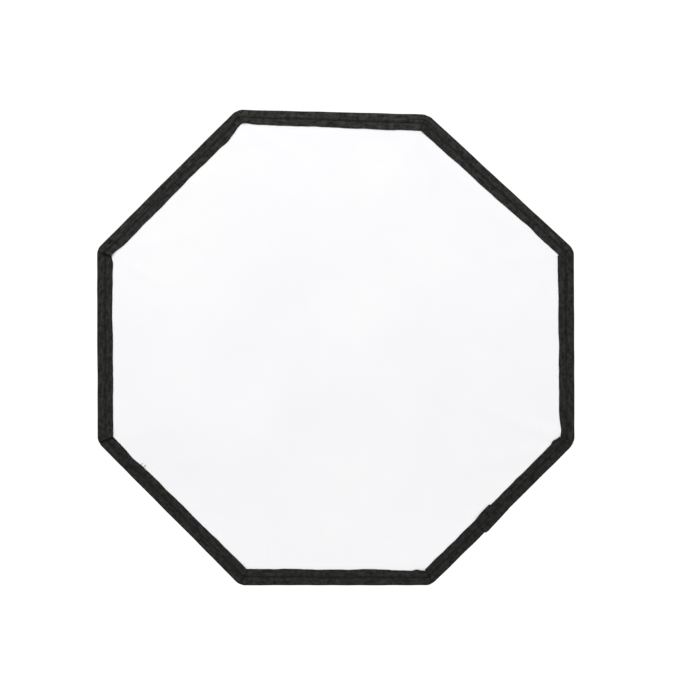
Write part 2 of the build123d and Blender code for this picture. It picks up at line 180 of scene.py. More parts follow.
class Trim:
    """Small closed solids gathered into one mesh: stitches, loose threads and cords."""

    def __init__(self):
        self.points, self.faces = [], []

    def tube(self, centres, radii, sides=6, flat=(0, 1, 0), squeeze=1.0):
        """A tube through the centres; squeeze flattens it along flat."""
        first = len(self.points)
        flat = Vector(flat).normalized()
        for i, centre in enumerate(centres):
            run = (centres[min(i + 1, len(centres) - 1)] - centres[max(i - 1, 0)]).normalized()
            wide = run.cross(flat).normalized()
            deep = wide.cross(run)
            for j in range(sides):
                turn = math.tau * j / sides
                offset = wide * math.cos(turn) + deep * (math.sin(turn) * squeeze)
                self.points.append(centre + offset * radii[i])
        self.faces += grid_faces(len(centres), sides, wrap_columns=True, first=first)
        last = first + (len(centres) - 1) * sides
        self.faces += [tuple(range(first + sides - 1, first - 1, -1)), tuple(range(last, last + sides))]

    def stitches(self, line, normals, pitch=0.0042, length=0.003, radius=0.00032):
        """Stitches along a line of points, each dipping into the cloth at both ends."""
        travelled, due = 0.0, pitch / 2
        for (a, b), normal in zip(zip(line, line[1:]), normals):
            step = (b - a).length
            while step > 0 and due <= travelled + step:
                middle = a.lerp(b, (due - travelled) / step)
                along = (b - a).normalized() * (length / 2)
                sunk = normal * (-radius * 1.2)
                centres = [middle - along + sunk, middle - along * 0.75,
                           middle + along * 0.75, middle + along + sunk]
                self.tube(centres, [radius * 0.5, radius, radius, radius * 0.5], 5, normal, 0.8)
                due += pitch
            travelled += step

    def piece(self, name, material):
        return new_mesh(name, self.points, self.faces, [material])


# Materials


def shader_node(tree, kind, **settings):
    """A node; a setting names one of its properties, or an input with _ for each space."""
    made = tree.nodes.new(kind)
    for key, value in settings.items():
        if hasattr(made, key):
            setattr(made, key, value)
        else:
            made.inputs[key.replace("_", " ")].default_value = value
    return made


def maths(tree, operation, a, b=None):
    made = tree.nodes.new("ShaderNodeMath")
    made.operation = operation
    for socket, value in zip(made.inputs, (a, b)):
        if isinstance(value, (int, float)):
            socket.default_value = value
        elif value is not None:
            tree.links.new(value, socket)
    return made.outputs[0]


def new_material(name, roughness, metallic=0.0, sheen=0.0, specular=0.5, coat=0.0):
    material = bpy.data.materials.new(name)
    material.use_nodes = True
    tree = material.node_tree
    surface = tree.nodes["Principled BSDF"]
    surface.inputs["Roughness"].default_value = roughness
    surface.inputs["Metallic"].default_value = metallic
    surface.inputs["Specular IOR Level"].default_value = specular
    surface.inputs["Sheen Weight"].default_value = sheen
    surface.inputs["Sheen Roughness"].default_value = 0.45
    surface.inputs["Coat Weight"].default_value = coat
    return material, tree, surface


def mapped(tree, source, scale):
    """UV or Object coordinates, scaled; scale is a number or three."""
    coordinates = shader_node(tree, "ShaderNodeTexCoord")
    scaled = shader_node(tree, "ShaderNodeVectorMath", operation="MULTIPLY")
    scaled.inputs[1].default_value = (scale,) * 3 if isinstance(scale, (int, float)) else scale
    tree.links.new(coordinates.outputs[source], scaled.inputs[0])
    return scaled.outputs[0]


def noise_of(tree, vector, detail=3.0, roughness=0.55):
    made = shader_node(tree, "ShaderNodeTexNoise", Scale=1.0, Detail=detail, Roughness=roughness)
    tree.links.new(vector, made.inputs["Vector"])
    return made.outputs["Fac"]


def ramp(tree, factor, low, high, start=0.3, end=0.7):
    """A colour between low and high as factor goes from start to end."""
    made = tree.nodes.new("ShaderNodeValToRGB")
    made.color_ramp.elements[0].position, made.color_ramp.elements[1].position = start, end
    made.color_ramp.elements[0].color, made.color_ramp.elements[1].color = (*low, 1), (*high, 1)
    tree.links.new(factor, made.inputs["Fac"])
    return made.outputs["Color"]


def bump(tree, surface, *layers):
    """Adds (height, depth in metres) layers to the surface's normal."""
    normal = None
    for height, depth in layers:
        made = shader_node(tree, "ShaderNodeBump", Distance=depth)
        tree.links.new(height, made.inputs["Height"])
        if normal:
            tree.links.new(normal, made.inputs["Normal"])
        normal = made.outputs["Normal"]
    tree.links.new(normal, surface.inputs["Normal"])


def plain_weave(tree, vector):
    """The height of a plain weave with one thread crossing for each unit of the vector's x and y."""
    parts = shader_node(tree, "ShaderNodeSeparateXYZ")
    tree.links.new(vector, parts.inputs[0])
    across, along = parts.outputs[0], parts.outputs[1]
    warp = maths(tree, "ABSOLUTE", maths(tree, "SINE", maths(tree, "MULTIPLY", across, math.pi)))
    weft = maths(tree, "ABSOLUTE", maths(tree, "SINE", maths(tree, "MULTIPLY", along, math.pi)))
    over = shader_node(tree, "ShaderNodeTexChecker", Scale=1.0)
    tree.links.new(vector, over.inputs["Vector"])
    up = maths(tree, "MULTIPLY", warp, over.outputs["Fac"])
    under = maths(tree, "MULTIPLY", weft, maths(tree, "SUBTRACT", 1.0, over.outputs["Fac"]))
    return maths(tree, "ADD", up, under)


def cloth_material(name, source, low, high, thread, roughness, sheen, depth, patch=14.0, coat=0.0):
    """Woven cloth: thread is the spacing of its threads, and depth the height of its weave."""
    material, tree, surface = new_material(name, roughness, sheen=sheen, specular=0.3, coat=coat)
    patches = noise_of(tree, mapped(tree, "Object", patch), detail=4)
    tree.links.new(ramp(tree, patches, low, high), surface.inputs["Base Color"])
    threads = plain_weave(tree, mapped(tree, source, 1 / thread))
    fuzz = noise_of(tree, mapped(tree, "Object", 900.0), detail=2)
    bump(tree, surface, (threads, depth), (fuzz, depth * 0.6), (patches, depth * 2))
    return material


def tape_material(name, low, high, rib=0.0011, fuzz_scale=620.0, shaded=False):
    """Woven edge tape: ribs along it, a fuzzy pile, and pale and dark patches of wear.

    Where it is shaded, the mesh's own shade attribute scales its colour: painted shade in its creases, groove
    and folds, and painted light that lightens or darkens whole sides.
    """
    material, tree, surface = new_material(name, 0.92, sheen=0.06, specular=0.18)
    streaks = noise_of(tree, mapped(tree, "UV", (70.0, 330.0, 1.0)), detail=3)
    mottle = noise_of(tree, mapped(tree, "Object", 190.0), detail=4, roughness=0.75)
    specks = noise_of(tree, mapped(tree, "Object", fuzz_scale), detail=3, roughness=0.7)
    tone = maths(tree, "ADD", maths(tree, "MULTIPLY", streaks, 0.4), maths(tree, "MULTIPLY", mottle, 0.6))
    colour = ramp(tree, tone, low, high, 0.4, 0.62)
    if shaded:
        # Painted light and shade: the colour is scaled by the mesh's shade attribute
        own = shader_node(tree, "ShaderNodeAttribute", attribute_name="shade")
        darker = shader_node(tree, "ShaderNodeVectorMath", operation="SCALE")
        tree.links.new(colour, darker.inputs[0])
        tree.links.new(own.outputs["Fac"], darker.inputs["Scale"])
        colour = darker.outputs[0]
    tree.links.new(colour, surface.inputs["Base Color"])
    threads = plain_weave(tree, mapped(tree, "UV", (1 / rib, 1 / rib, 1.0)))
    bump(tree, surface, (threads, 0.00035), (specks, 0.0005))
    return material


def metal_material(name, colour, roughness, grain=(600.0, 600.0, 600.0), wear=0.12, coat=0.0, metallic=1.0):
    """Metal with a fine grain, and patches of a slightly different polish."""
    material, tree, surface = new_material(name, roughness, metallic=metallic, coat=coat)
    smudges = noise_of(tree, mapped(tree, "Object", 45.0), detail=5)
    dull = tuple(c * (1 - wear) for c in colour)
    tree.links.new(ramp(tree, smudges, dull, colour), surface.inputs["Base Color"])
    lines = noise_of(tree, mapped(tree, "Object", grain), detail=3, roughness=0.7)
    spread = shader_node(tree, "ShaderNodeMapRange", To_Min=roughness * 0.75, To_Max=roughness * 1.3)
    tree.links.new(lines, spread.inputs["Value"])
    tree.links.new(spread.outputs[0], surface.inputs["Roughness"])
    bump(tree, surface, (lines, 0.00006), (smudges, 0.00005))
    return material


def moulded_material(name, colour, roughness):
    """Moulded plastic with a fine spark-eroded grain."""
    material, tree, surface = new_material(name, roughness, specular=0.45)
    mottle = noise_of(tree, mapped(tree, "Object", 70.0), detail=4)
    pale = tuple(min(1.0, c * 1.5 + 0.004) for c in colour)
    tree.links.new(ramp(tree, mottle, colour, pale), surface.inputs["Base Color"])
    grain = noise_of(tree, mapped(tree, "Object", 2600.0), detail=2)
    bump(tree, surface, (grain, 0.00008), (mottle, 0.0001))
    return material


def hook_material(name, colour):
    """A bed of small hooks or loops, paler at their tips than between them: painted highlight on the tips and
    painted shade between.
    """
    material, tree, surface = new_material(name, 0.8, sheen=0.3, specular=0.3)
    cells = shader_node(tree, "ShaderNodeTexVoronoi", Scale=1.0)
    tree.links.new(mapped(tree, "Object", 900.0), cells.inputs["Vector"])
    tips = maths(tree, "SUBTRACT", 1.0, cells.outputs["Distance"])
    # Painted light and shade: paler where the hooks stand highest, darker between them
    pale = tuple(c * 2.5 for c in colour)
    tree.links.new(ramp(tree, tips, colour, pale), surface.inputs["Base Color"])
    bump(tree, surface, (tips, 0.0006))
    return material


def lining_material(name):
    """Silver-coated cloth: bright, with a fine crinkle."""
    material, tree, surface = new_material(name, 0.36, metallic=0.9)
    tone = noise_of(tree, mapped(tree, "Object", 24.0), detail=5)
    tree.links.new(ramp(tree, tone, (0.62, 0.62, 0.64), (0.82, 0.82, 0.83)), surface.inputs["Base Color"])
    crinkle = noise_of(tree, mapped(tree, "Object", 210.0), detail=5, roughness=0.65)
    threads = plain_weave(tree, mapped(tree, "UV", 1 / 0.0006))
    bump(tree, surface, (crinkle, 0.0006), (threads, 0.00005))
    return material


def elastic_material(name, low, high):
    """Ribbed elastic webbing, paler on its raised threads and darker in the hollows between them: painted
    light and shade.
    """
    material, tree, surface = new_material(name, 0.85, sheen=0.2, specular=0.25)
    ribs = plain_weave(tree, mapped(tree, "UV", (1 / 0.0009, 1 / 0.0013, 1.0)))
    # Painted shade: darker where the weave lies lowest, paler where it stands highest
    tree.links.new(ramp(tree, ribs, low, high, 0.1, 0.8), surface.inputs["Base Color"])
    bump(tree, surface, (ribs, 0.0004))
    return material


WHITE_CLOTH = cloth_material(
    "white_cloth", "Object", (0.925, 0.925, 0.945), (0.95, 0.95, 0.96), 0.0005, 0.75, 0.1, 0.00004, patch=7.0)
BORDER_TAPE = tape_material("border_tape", (0.005, 0.005, 0.0046), (0.043, 0.043, 0.039), shaded=True)
BORDER_THREAD = tape_material("border_thread", (0.006, 0.006, 0.006), (0.014, 0.014, 0.013))
SHELL_OUTSIDE = cloth_material(
    "shell_outside", "UV", (0.011, 0.011, 0.012), (0.02, 0.02, 0.022), 0.0007, 0.55, 0.25, 0.00012)
SKIRT_CLOTH = cloth_material(
    "skirt_cloth", "UV", (0.009, 0.009, 0.01), (0.017, 0.017, 0.019), 0.0007, 0.6, 0.25, 0.00012)
SHELL_LINING = lining_material("shell_lining")
SHELL_THREAD = tape_material("shell_thread", (0.02, 0.02, 0.021), (0.045, 0.045, 0.047))
SEAM_TAPE = tape_material("seam_tape", (0.01, 0.01, 0.0105), (0.026, 0.026, 0.027), rib=0.0016)
LOOP_TAPE = hook_material("loop_tape", (0.013, 0.013, 0.013))
HOOK_TAPE = hook_material("hook_tape", (0.01, 0.01, 0.01))
ELASTIC = elastic_material("elastic", (0.55, 0.55, 0.55), (0.82, 0.82, 0.81))
WHITE_THREAD = tape_material("white_thread", (0.6, 0.6, 0.6), (0.8, 0.8, 0.8))
ALUMINIUM = metal_material("machined_aluminium", (0.68, 0.68, 0.69), 0.3, grain=(300.0, 2600.0, 300.0))
POWDER_COAT = metal_material("powder_coat", (0.022, 0.022, 0.023), 0.48, metallic=0.1, coat=0.15)
ZINC = metal_material("zinc", (0.6, 0.6, 0.6), 0.34)
BLACK_STEEL = metal_material("black_steel", (0.03, 0.03, 0.032), 0.38, metallic=0.7)
SPRING_STEEL = metal_material("spring_steel", (0.42, 0.42, 0.44), 0.26)
PLASTIC = moulded_material("moulded_plastic", (0.014, 0.014, 0.015), 0.5)


# Shell


def shell_profile(s):
    """(apothem, y) of the shell's outside at s, from 0 at the neck to 1 at the rim."""
    neck, rim = Vector((NECK_APOTHEM, NECK_Y)), Vector((RIM_APOTHEM, RIM_Y))
    line = rim - neck
    outward = Vector((-line.y, line.x)).normalized()
    point = neck + line * s + outward * (SHELL_BOW * 4 * s * (1 - s))
    return point.x, point.y


def shell_normal(s):
    """(apothem, y) direction that leaves the shell's outside at s."""
    (a0, y0), (a1, y1) = shell_profile(s - 0.01), shell_profile(s + 0.01)
    return Vector((-(y1 - y0), a1 - a0)).normalized()


SHELL_LENGTH = (Vector(shell_profile(1)) - Vector(shell_profile(0))).length


def drift_share(s):
    """The shell's corners leave the ribs only a little before the tips, and the rest beyond them."""
    return 0.2 * smoothstep(0.3, 0.9, s) + 0.8 * smoothstep(0.94, 1, s)


def shell_point(side, s, across, lift=0.0):
    """A point on the shell's outside, with the cloth's sag, gathers and puckers; lift moves it out."""
    apothem, y = shell_profile(s)
    run = across * apothem * HALF_TAN
    inside = 1 - across * across
    span = max(0.0, math.sin(math.pi * min(1.0, max(0.0, s))))
    seed = side * 3.7
    spot = Vector((run * 26, s * 5.0, seed))
    crumple = noise.noise(spot) * 0.0013 + noise.noise(spot * 2.6) * 0.0006
    gathers = noise.noise(Vector((across * 7, s * 0.9, seed + 9))) * 0.0024 * (1 - smoothstep(0, 0.35, s))
    puckers = noise.noise(Vector((s * 46, round(across) * 5.0, seed))) * 0.0011
    puckers *= smoothstep(0.72, 0.93, abs(across)) * (1 - smoothstep(0.97, 1.0, abs(across)))
    pleat = 0.0016 * math.exp(-(run / 0.006) ** 2)
    drape = (crumple + gathers + pleat * span - SHELL_SAG * span) * inside + puckers
    normal = shell_normal(min(1.0, max(0.0, s)))
    apothem -= rim_cut(side, across) * smoothstep(0.955, 1.0, s)
    place = side_point(side, apothem, across, y, drift_share(s))
    leaving = radial(side * SIDE_TURN) * normal.x + Vector((0, normal.y, 0))
    return place + leaving * (drape * span ** 0.25 + lift)


def rim_cut(side, across):
    """The rim's rounded corners, a little inside the border's."""
    corner_r = CORNER_RADII[(side + 1 if across > 0 else side) % SIDES] + 0.003
    return rounded(corner_r, RIM_APOTHEM * HALF_TAN * (1 - abs(across)))


def shell_outward(side, s):
    normal = shell_normal(s)
    return radial(side * SIDE_TURN) * normal.x + Vector((0, normal.y, 0))


NECK_TUCK = -0.035
SHELL_ROWS = 58
HEM_ROWS = (0.0132, RIM_HEM + 0.0005, RIM_HEM - 0.0004, 0.008, 0.004, 0.0014, 0.0)
BAND_COLUMNS = (0.0, 0.0012, 0.004, SEAM_BAND - 0.0007, SEAM_BAND, SEAM_BAND + 0.0007, 0.0108)
GORE_COLUMNS = 16
LOOP_TAPE_FRONT = 0.00025
LOOP_TAPE_APOTHEMS = (0.297, 0.283)


def band_rise(s, from_corner):
    """How much thicker the shell is in its felled seams and its rim's hem."""
    from_rim = (1 - s) * SHELL_LENGTH
    seam = 1 - smoothstep(SEAM_BAND - 0.0006, SEAM_BAND + 0.0004, from_corner)
    hem = 1 - smoothstep(RIM_HEM - 0.0003, RIM_HEM + 0.0004, from_rim)
    return BAND_RISE * max(seam, hem * 0.9)


def gore_rows():
    """(kind, place, depth) of each row of a gore's section, round its outside, flange and lining."""
    last = 1 - HEM_ROWS[0] / SHELL_LENGTH
    along = [NECK_TUCK + (last - NECK_TUCK) * i / (SHELL_ROWS - 1) for i in range(SHELL_ROWS)]
    along += [1 - distance / SHELL_LENGTH for distance in HEM_ROWS[1:]]
    flange_in = RIM_APOTHEM - RIM_FLANGE
    tape_out, tape_in = LOOP_TAPE_APOTHEMS
    flange = [(RIM_APOTHEM - 0.0012, 0), (tape_out + 0.0002, 0), (tape_out, -LOOP_TAPE_FRONT),
              (tape_in, -LOOP_TAPE_FRONT), (tape_in - 0.0002, 0),
              (flange_in, 0), (flange_in, SHELL_THICKNESS),
              ((RIM_APOTHEM + flange_in) / 2, SHELL_THICKNESS), (RIM_APOTHEM - 0.003, SHELL_THICKNESS)]
    rows = [("outside", s, 0.0) for s in along]
    rows += [("flange", apothem, depth) for apothem, depth in flange]
    return rows + [("lining", s, 0.0) for s in reversed(along)]


def gore_material(row, next_row):
    """Outside 0, lining 1, loop tape 2."""
    if row[0] == "flange" and row[2] < 0 and next_row[2] < 0:
        return 2
    return 1 if row[0] == "lining" or row[2] > 0 else 0


def half_gore(rib, before):
    """One side of a rib: its cloth, black outside and silver inside, with the rim's flange."""
    name = f"gore_{rib}{'a' if before else 'b'}"
    side, toward = (rib - 1, 1) if before else (rib, -1)
    rows = gore_rows()
    columns = len(BAND_COLUMNS) + GORE_COLUMNS
    points, uvs, slots = [], [], []
    length, last = 0.0, None
    for kind, value, depth in rows:
        apothem = value if kind == "flange" else shell_profile(value)[0]
        half = apothem * HALF_TAN
        margin = half - BAND_COLUMNS[-1]
        from_corner = list(BAND_COLUMNS) + [
            BAND_COLUMNS[-1] + margin * (i + 1) / GORE_COLUMNS for i in range(GORE_COLUMNS)]
        for distance in from_corner:
            across = toward * (1 - distance / half)
            if kind == "flange":
                ripple = abs(noise.noise(Vector((across * 4, value * 90, side)))) * 0.0004
                deep = RIM_Y + depth + (ripple if depth > 0 else 0)
                point = side_point(side, value - rim_cut(side, across), across, deep)
            elif kind == "lining":
                point = shell_point(side, value, across, -SHELL_THICKNESS)
            else:
                point = shell_point(side, value, across, band_rise(value, distance))
            points.append(point)
        length += (points[-1] - last).length if last else 0.0
        last = points[-1]
        uvs += [((half - distance) * toward, length) for distance in from_corner]
    faces = grid_faces(len(rows), columns, wrap_rows=True)
    for i, row in enumerate(rows):
        slots += [gore_material(row, rows[(i + 1) % len(rows)])] * (columns - 1)
    for column, turn in ((0, 1), (columns - 1, -1)):
        for i in range(len(rows) // 2 - 1):
            ring = (i, i + 1, len(rows) - 2 - i, len(rows) - 1 - i)
            faces.append(tuple(k * columns + column for k in ring)[::turn])
            slots.append(0)
    if before:
        faces = [tuple(reversed(f)) for f in faces]
    thread = shell_stitches(side, toward)
    slots += [3] * len(thread.faces)
    faces += [tuple(len(points) + k for k in f) for f in thread.faces]
    points += thread.points
    uvs += [(0, 0)] * len(thread.points)
    gore = new_mesh(name, points, faces, [SHELL_OUTSIDE, SHELL_LINING, LOOP_TAPE, SHELL_THREAD], slots, uvs)
    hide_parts(f"shell_panel_{rib}{'a' if before else 'b'}")
    return gore, side


def shell_stitches(side, toward):
    """Two rows of stitches along the felled seam, and two round the rim's hem."""
    thread = Trim()
    steps = [i / 90 for i in range(91)]
    for inset in (0.0022, SEAM_BAND - 0.0014):
        line = [shell_point(side, s, toward * (1 - inset / (shell_profile(s)[0] * HALF_TAN)), BAND_RISE * 1.1)
                for s in steps]
        thread.stitches(line, [shell_outward(side, s) for s in steps])
    for distance in (0.0025, RIM_HEM - 0.0016):
        s = 1 - distance / SHELL_LENGTH
        line = [shell_point(side, s, toward * i / 30, BAND_RISE) for i in range(30)]
        thread.stitches(line, [shell_outward(side, s)] * 30)
    return thread


def seam_piping(rib):
    """The corded edge in each felled seam, which lies along the rib."""
    cord = Trim()
    steps = [NECK_TUCK / 2 + (1 - NECK_TUCK / 2) * i / 70 for i in range(71)]
    outward = (shell_outward(rib - 1, 0.5) + shell_outward(rib, 0.5)).normalized()
    centres = [shell_point(rib, s, -1, 0.0004 - 0.0014 * smoothstep(0.98, 1, s)) for s in steps]
    radii = [0.0016 * (1 + 0.06 * wobble(s, rib, 0.03)) * (1 - 0.6 * smoothstep(0.98, 1, s)) for s in steps]
    cord.tube(centres, radii, 12, outward)
    piping = cord.piece(f"seam_piping_{rib}", SEAM_TAPE)
    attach(piping, f"rib_{rib}")


POCKET_R = 0.0056
POCKET_DEPTH = 0.007


def corner_on(rib, s):
    """The shell's corner line, with no drift."""
    apothem, y = shell_profile(s)
    return radial(rib_azimuth(rib)) * (apothem / math.cos(SIDE_TURN / 2)) + Vector((0, y, 0))


def tip_pocket(rib):
    """The sleeve sewn in each corner, which the rib's tip pushes into."""
    outward = (shell_outward(rib - 1, 0.9) + shell_outward(rib, 0.9)).normalized()
    along = (corner_on(rib, 0.945) - corner_on(rib, 0.845)).normalized()
    centres = [corner_on(rib, 0.845 + 0.1 * i / 14) - outward * POCKET_DEPTH for i in range(15)]
    centres += [centres[-1] + along * extra for extra in (0.0015, 0.003, 0.004)]
    radii = [POCKET_R * (1 + (0.08 if i < 2 else 0.03 * wobble(i / 14, rib, 0.3))) for i in range(15)]
    radii += [POCKET_R * share for share in (0.94, 0.72, 0.35)]
    sleeve = Trim()
    sleeve.tube(centres, radii, 20, outward)
    pocket = sleeve.piece(f"tip_pocket_{rib}", SEAM_TAPE)
    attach(pocket, f"rib_{rib}")


def add_shell():
    for rib in range(1, SIDES + 1):
        for before in (True, False):
            gore, side = half_gore(rib, before)
            neck, rim = shell_point(side, 0, 0), shell_point(side, 1, 0)
            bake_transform(gore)
        seam_piping(rib)
        tip_pocket(rib)


# Folded edge tapes


TAPE_CORNER_STEPS = (0.0, 0.0003, 0.0008, 0.0014, 0.0021, 0.003, 0.0042, 0.0057, 0.0076, 0.0098)
TAPE_STEP = 0.0023
STITCH_V = 0.52
FRONT_V = (1.0, 0.985, 0.95, 0.9, 0.82, 0.74, 0.66, 0.6, 0.56, 0.52, 0.48, 0.44, 0.38, 0.3, 0.2, 0.11, 0.05)
BACK_V = (0.05, 0.3, 0.6, 0.9)
FOLD_RISE = 0.0019
FOLD_OVERHANG = 0.0011


class FoldedTape:
    """A tape folded in a U over the edge of an octagonal cloth, with a pleat at each corner.

    x runs along a side from its middle, v across the tape from 0 at the outer fold to 1 inside.
    """

    def __init__(self, apothem, widths, depths, cloth_depths, drift, corners, folds, bulges, tones, seed):
        self.apothem, self.widths, self.drift, self.corners = apothem, widths, drift, corners
        self.front, self.back = depths
        self.cloth_front, self.cloth_back = cloth_depths
        self.folds, self.bulges, self.tones, self.seed = folds, bulges, tones, seed
        self.half = apothem * HALF_TAN

    def stations(self):
        near = list(TAPE_CORNER_STEPS)
        count = int((self.half - near[-1]) / TAPE_STEP)
        near += [near[-1] + (self.half - near[-1]) * (i + 1) / count for i in range(count)]
        first = [distance - self.half for distance in near]
        return first + [-x for x in reversed(first[:-1])]

    def reach(self, side, x):
        """The tape's width at x, with its wavy inner edge."""
        calm = smoothstep(0, 0.02, self.half - abs(x))
        start, middle, end = self.widths[side % SIDES]
        t = x / self.half
        width = middle + (end - start) / 2 * t + ((end + start) / 2 - middle) * t * t
        width += middle * calm * (0.035 * wobble(x, side + self.seed, 0.03)
                                  + 0.022 * wobble(x, side + self.seed + 9, 0.011))
        for where, place, spread, change in self.bulges:
            if where == side:
                width += change * math.exp(-((x - place) / spread) ** 2)
        return width

    def rise(self, side, x, v):
        """How far the tape stands in front of its cloth."""
        arch = math.sqrt(max(0.0, math.sin(math.pi * min(1.0, max(0.0, v * 0.94 + 0.03)))))
        body = 0.66 * arch + 0.16 * noise.noise(Vector((x / 0.011, v * 2.2, side + self.seed)))
        groove = 0.5 * math.exp(-((v - STITCH_V) / 0.045) ** 2)
        high = (self.cloth_front - self.front) * (0.3 + max(0.06, body - groove))
        to_end, to_start = max(0.0, self.half - x), max(0.0, self.half + x)
        folded = self.folds[side % SIDES] * min(1.0, 0.45 + v)
        high += FOLD_RISE * folded * math.exp(-to_end / 0.007)
        high -= FOLD_RISE * 0.4 * self.folds[(side - 1) % SIDES] * math.exp(-to_start / 0.002)
        near = math.exp(-min(to_end, to_start) / 0.014)
        high += 0.0007 * near * noise.noise(Vector((x / 0.0035, v * 3.5, side * 2.3 + self.seed)))
        return max(0.00012, high)

    def shade(self, side, x, v):
        """Painted light and shade: 1 on open tape, times each side's painted light, with painted shade in the
        stitched groove and at and under each fold.
        """
        # Painted shade in the stitched groove, and at and under each corner fold
        groove = 0.62 * math.exp(-((v - STITCH_V) / 0.045) ** 2)
        # Painted light: this side's share, lighter on the top sides and darker on the lower ones
        painted_light_here = self.tones[side % SIDES]
        to_end, to_start = max(0.0, self.half - x), max(0.0, self.half + x)
        lean = 0.0022 * (1 - v)
        shade_under_fold = self.folds[(side - 1) % SIDES] * math.exp(-((to_start - lean * 0.5) / 0.0019) ** 2)
        shade_at_fold = 0.45 * self.folds[side % SIDES] * math.exp(-((to_end - 0.0045) / 0.003) ** 2)
        return painted_light_here * max(0.15, 1 - groove - 0.85 * shade_under_fold * smoothstep(0.1, 0.5, v) - shade_at_fold * 0.5)

    def place(self, side, x, v, y, width=None):
        """A point at v; the outer corners are rounded."""
        width = width or self.reach(side, x)
        corner_r = self.corners[(side + 1 if x > 0 else side) % SIDES]
        edge = rounded(corner_r, self.half - abs(x))
        edge += 0.0004 * wobble(x, side + self.seed + 5, 0.024)
        u = edge + (width - edge) * v
        return side_point(side, self.apothem - u, x / self.half, y, self.drift)

    def section(self, side, x, grow=0.0, widen=(0.0, 0.0), lean=0.0):
        """Round the tape's outside from its inner front edge, over the fold, to its inner back edge.

        grow thickens it, widen moves its outer and inner edges, and lean slants it along the side.
        Returns the points and their shades, the painted light and shade from shade().
        """
        out, into = widen
        middle = (self.cloth_front + self.cloth_back) / 2
        loop, shades = [], []

        def add(v, y, shift=0.0):
            at = x + lean * (1 - v)
            width = self.reach(side, at)
            moved = v + shift / width + into / width * v - out / width * (1 - v)
            loop.append(self.place(side, at, moved, y, width))
            shades.append(self.shade(side, at, v))

        for v in FRONT_V:
            add(v, self.cloth_front - self.rise(side, x + lean * (1 - v), v) - grow)
        deep = self.cloth_front - self.rise(side, x + lean, FRONT_V[-1])
        add(0, deep * 0.6 + middle * 0.4 - grow * 0.5, 0.0002 - grow)
        add(0, middle, -grow)
        add(0, (self.back + middle) / 2 + grow * 0.4, 0.0002 - grow)
        for v in BACK_V:
            add(v, self.back + grow * 0.6)
        return loop, shades

    def lining(self, side, x):
        """Back round the tape's inside, between its legs and the cloth."""
        behind, before = self.cloth_back + 0.00006, self.cloth_front - 0.00005
        path = ((0.9, behind), (0.5, behind), (0.08, behind), (0.06, (behind + before) / 2),
                (0.08, before), (0.5, before), (0.97, before))
        return [self.place(side, x, v, y) for v, y in path]

    def build(self, name, material):
        points, uvs, shades, rows, run = [], [], [], 0, 0.0
        for side in range(SIDES):
            stations = self.stations()
            stations[0] += 0.0002
            stations[-1] += FOLD_OVERHANG * self.folds[side]
            for x in stations:
                outside, dark = self.section(side, x)
                inside = self.lining(side, x)
                points += outside + inside
                # Painted shade: the tape's inside, between its legs, at half its colour
                shades += dark + [0.5] * len(inside)
                uvs += [(run + x + self.half, j * 0.0018) for j in range(len(outside) + len(inside))]
                rows += 1
            run += 2 * self.half
        faces = grid_faces(rows, len(points) // rows, wrap_rows=True, wrap_columns=True)
        faces = [tuple(reversed(f)) for f in faces]
        return new_mesh(name, points, faces, [material], uvs=uvs, shades=shades)

    def middle_line(self, thread, **settings):
        """Stitches along the groove."""
        for side in range(SIDES):
            line = []
            for i in range(61):
                x = (i / 30 - 1) * (self.half - 0.004)
                y = self.cloth_front - self.rise(side, x, STITCH_V) - 0.0002
                line.append(self.place(side, x, STITCH_V, y))
            thread.stitches(line, [Vector((0, -1, 0))] * 60, **settings)

    def end_lap(self, name, side, start, end, material):
        """The free end of the tape, lapped over its beginning and sewn down."""
        count = 34
        points, uvs, shades = [], [], []
        for i in range(count + 1):
            t = i / count
            x = start + (end - start) * t
            grow = 0.0008 * (1 - 0.5 * smoothstep(0.5, 1.0, t))
            outward = LAP_PROUD * (1 - t) * (0.35 + 0.65 * smoothstep(0, 0.12, t))
            widen = (outward, 0.0016 * smoothstep(0, 0.5, t))
            outer, dark = self.section(side, x, grow, widen, LAP_LEAN * t)
            inner, _ = self.section(side, x, 0.0, (0.0, 0.0), LAP_LEAN * t)
            loop = outer + list(reversed(inner))
            for j, point in enumerate(loop):
                ravel = 0.0006 * noise.noise(Vector((j * 0.9, 5.0 * side, i))) if i in (0, count) else 0.0
                points.append(point + tangent(side * SIDE_TURN) * ravel)
            # Painted shade: the lap's two cut ends at 0.45, and its underside at 0.3
            edge = 0.45 if i in (0, count) else 1.0
            shades += [value * edge for value in dark] + [0.3] * len(inner)
            uvs += [(x, j * 0.0018 + 0.5) for j in range(len(loop))]
        across = len(points) // (count + 1)
        faces = [tuple(reversed(f)) for f in grid_faces(count + 1, across, wrap_columns=True)]
        for first, turn in ((0, 1), (count * across, -1)):
            for j in range(across // 2 - 1):
                quad = (first + j, first + j + 1, first + across - 2 - j, first + across - 1 - j)
                faces.append(quad[::turn])
        return new_mesh(name, points, faces, [material], uvs=uvs, shades=shades)


# How proud the fold at the end of each side stands, from side 0
CORNER_FOLDS = (0.55, 0.8, 0.3, 1.0, 0.9, 0.5, 0.9, 0.85)

# Places where the border's inner edge bulges or draws in: side, place along it, spread, change of width
BORDER_BULGES = (
    (3, -0.118, 0.009, -0.0018), (3, -0.093, 0.008, 0.0014), (2, 0.120, 0.007, -0.0016),
    (0, -0.114, 0.010, -0.0018), (7, 0.116, 0.0045, 0.0018), (4, -0.112, 0.014, 0.0008),
    (3, 0.119, 0.010, -0.0022), (4, -0.122, 0.005, -0.0016), (1, -0.070, 0.014, -0.0016),
    (6, 0.113, 0.004, 0.0012),
    (5, -0.085, 0.012, -0.0014), (4, -0.045, 0.018, -0.0009), (6, 0.055, 0.018, 0.0012),
)

